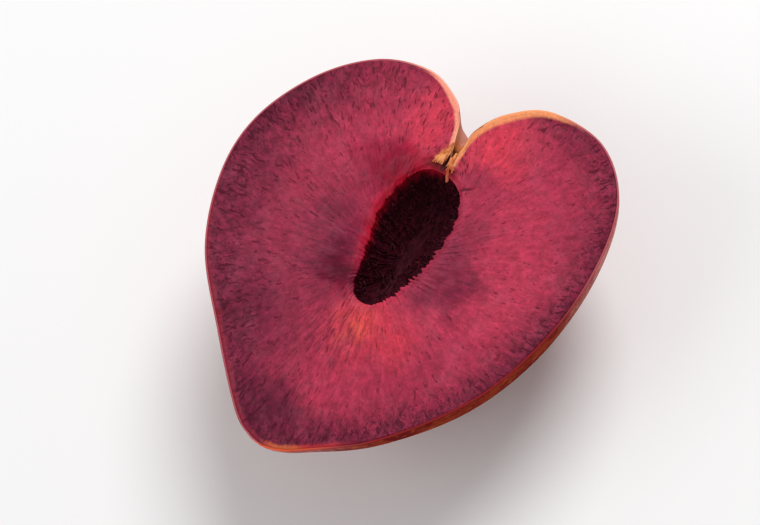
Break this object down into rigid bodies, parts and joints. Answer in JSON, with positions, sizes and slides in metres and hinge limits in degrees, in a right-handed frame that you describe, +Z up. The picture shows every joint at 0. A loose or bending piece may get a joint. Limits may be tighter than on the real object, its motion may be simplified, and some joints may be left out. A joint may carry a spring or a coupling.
{
  "type": "plum half",
  "caption": "Half of a red-fleshed plum, heart-shaped, cut lengthways through the stem hollow, with an empty stone hollow, lying on its rounded back with the cut face up.",
  "frame": {"origin": "on the surface that the half lies on, under the middle of its box", "axes": "+Z up out of the cut face, +Y along the fruit from the blossom tip to the stem end, +X to the right of the cut face"},
  "size_m": [0.054, 0.0612, 0.026],
  "materials": {
    "flesh": "moist wine-red flesh with fine radial fibres, purple towards the skin and near-black in the stone hollow",
    "skin": "thin satin skin, tan to salmon with red mottling, pale dots and a lilac bloom, golden in the stem hollow",
    "stem_scar": "dry amber fibres torn where the stem was"
  },
  "bodies": {
    "root": {"plum_half": "flesh"}
  },
  "joints": []
}
